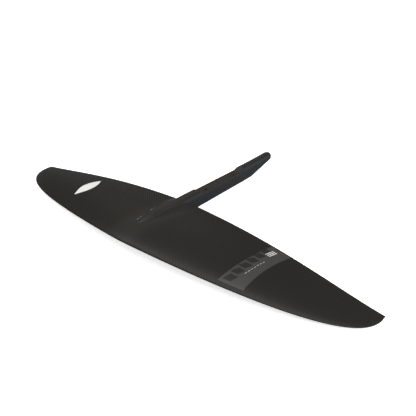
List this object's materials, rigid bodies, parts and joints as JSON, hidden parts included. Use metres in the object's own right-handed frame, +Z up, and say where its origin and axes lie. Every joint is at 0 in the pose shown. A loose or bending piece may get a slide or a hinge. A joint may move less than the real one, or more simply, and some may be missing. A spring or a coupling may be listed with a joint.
{
  "type": "hydrofoil front wing with integral fuselage",
  "caption": "Carbon hydrofoil front wing with gently drooping tips and a one-piece rear boom that has a mast seat on top and a wedge tail.",
  "frame": {"origin": "middle of the mast seat, on the flat floor of its channel in the boom's top, midway between the two mast screws", "axes": "+X to the rider's right along the span, +Y aft along the boom, +Z up towards the board"},
  "size_m": [0.9586, 0.5218, 0.0644],
  "materials": {
    "woven_carbon": "satin clear coat over a fine twill weave, warm dark grey",
    "satin_carbon": "smooth satin clear coat",
    "unidirectional_carbon": "uncoated pultruded carbon",
    "foam_core": "structural foam",
    "cast_filler": "filled epoxy",
    "stainless": "brushed stainless steel"
  },
  "bodies": {
    "root": {"boom_front_core": "foam_core", "boom_lower_shell": "satin_carbon", "boom_upper_shell": "satin_carbon", "front_core_left": "foam_core", "front_core_right": "foam_core", "leading_edge_filler_left": "cast_filler", "leading_edge_filler_right": "cast_filler", "lower_spar_cap": "unidirectional_carbon", "mast_block": "cast_filler", "mast_screw_sleeves": "stainless", "outer_core_left": "foam_core", "outer_core_right": "foam_core", "rear_core_left": "foam_core", "rear_core_right": "foam_core", "spar_web": "unidirectional_carbon", "tail_block": "cast_filler", "tail_thread_inserts": "stainless", "tip_block_left": "woven_carbon", "tip_block_right": "woven_carbon", "trailing_edge_filler_left": "cast_filler", "trailing_edge_filler_right": "cast_filler", "upper_spar_cap": "unidirectional_carbon", "wing_lower_skin": "woven_carbon", "wing_upper_skin": "woven_carbon"}
  },
  "joints": []
}
